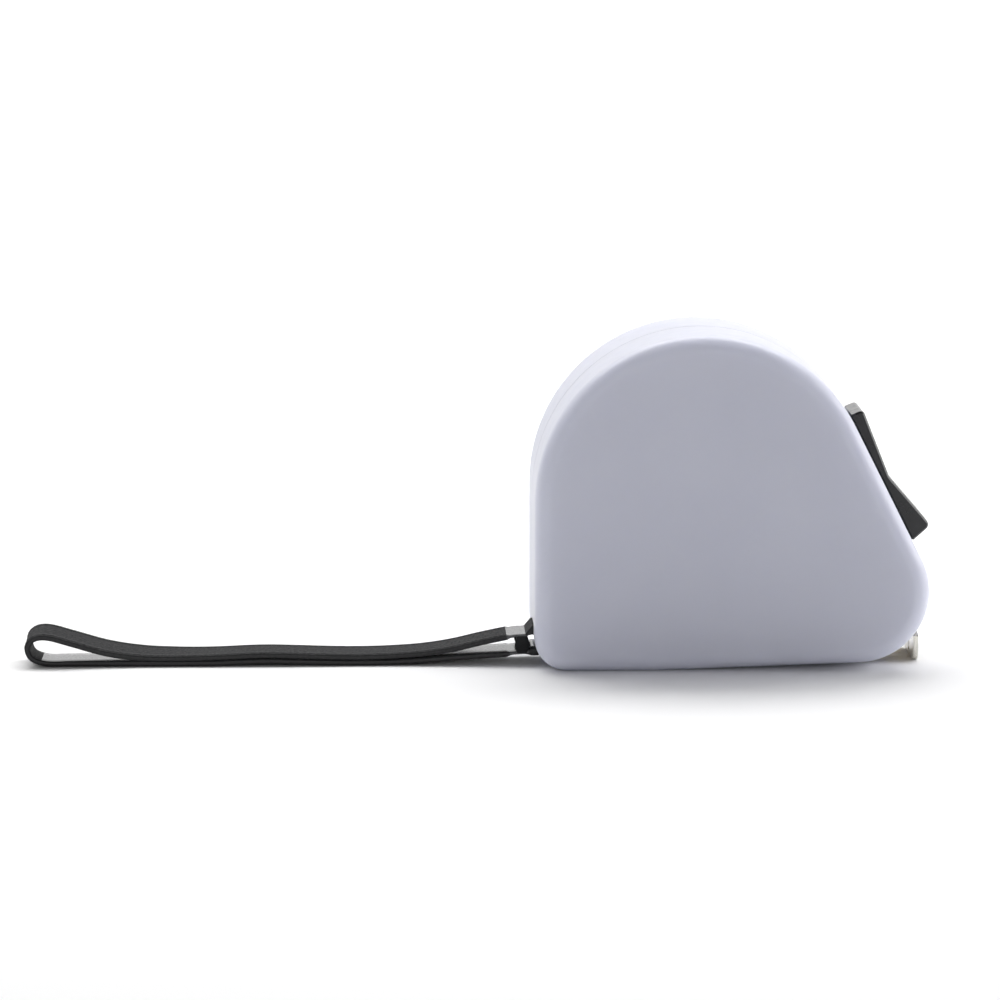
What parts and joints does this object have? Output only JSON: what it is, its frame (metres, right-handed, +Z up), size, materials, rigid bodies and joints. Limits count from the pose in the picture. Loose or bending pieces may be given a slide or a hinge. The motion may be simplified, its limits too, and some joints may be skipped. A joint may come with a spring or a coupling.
{
  "type": "pocket tape measure",
  "caption": "Pocket tape measure with a sprung blade and end hook, a thumb lock on the front slope, a belt clip and a flat wrist strap.",
  "frame": {"origin": "on the level part of the base, on the parting plane of the case", "axes": "+X towards the nose, where the blade comes out; +Y towards the belt clip; +Z up"},
  "size_m": [0.1592, 0.0376, 0.0591],
  "materials": {
    "case_plastic": "glossy white moulded plastic",
    "button_plastic": "glossy black moulded plastic",
    "inner_plastic": "matte black moulded plastic",
    "strap_rubber": "grained black soft plastic",
    "pad_rubber": "matte black rubber",
    "blade_steel": "yellow lacquered spring steel",
    "hook_steel": "plated sheet steel",
    "spring_steel": "blued spring steel",
    "clip_steel": "bright plated spring steel",
    "screw_steel": "zinc plated steel",
    "rivet_brass": "dull brass"
  },
  "bodies": {
    "case": {"near_shell": "case_plastic", "far_shell": "case_plastic", "case_screw_rear": "screw_steel", "case_screw_top": "screw_steel", "case_screw_front": "screw_steel", "spring_arbor": "screw_steel", "blade_guide": "inner_plastic", "mouth_bumper": "pad_rubber", "clip_base": "clip_steel", "clip_screw": "screw_steel", "strap_knuckle": "strap_rubber"},
    "reel": {"reel_drum": "inner_plastic", "reel_cap": "inner_plastic", "power_spring": "spring_steel", "tape_coil": "blade_steel"},
    "blade": {"tape_blade": "blade_steel", "hook_rivet_1": "rivet_brass", "hook_rivet_2": "rivet_brass"},
    "hook": {"end_hook": "hook_steel"},
    "lock": {"lock_button": "button_plastic", "lock_slider": "inner_plastic", "brake_shoe": "pad_rubber"},
    "clip": {"belt_clip": "clip_steel"},
    "strap": {"wrist_strap": "strap_rubber", "strap_pin": "strap_rubber"}
  },
  "joints": [
    {"name": "blade_pull", "type": "slide", "parent": "case", "child": "blade", "axis": [1, 0, 0], "range_m": [0, 0.045], "stiffness_N_per_m": 2, "springref_m": -0.1},
    {"name": "reel_spin", "type": "hinge", "parent": "case", "child": "reel", "pos_m": [0.0156, 0, 0.0295], "axis": [0, -1, 0], "range_deg": [0, 116]},
    {"name": "hook_play", "type": "slide", "parent": "blade", "child": "hook", "axis": [1, 0, 0], "range_m": [0, 0.0009]},
    {"name": "lock_slide", "type": "slide", "parent": "case", "child": "lock", "axis": [0.4498, 0, -0.8931], "range_m": [0, 0.0036]},
    {"name": "clip_flex", "type": "hinge", "parent": "case", "child": "clip", "pos_m": [0.0156, 0.0172, 0.0429], "axis": [1, 0, 0], "range_deg": [0, 10], "stiffness_Nm_per_rad": 0.1},
    {"name": "strap_swing", "type": "hinge", "parent": "case", "child": "strap", "pos_m": [-0.016, -0.004, 0.00375], "axis": [0, 1, 0], "range_deg": [-45, 80]}
  ],
  "couplings": [
    {"joint": "reel_spin", "follows": "blade_pull", "rad_per_m": 44.25}
  ]
}
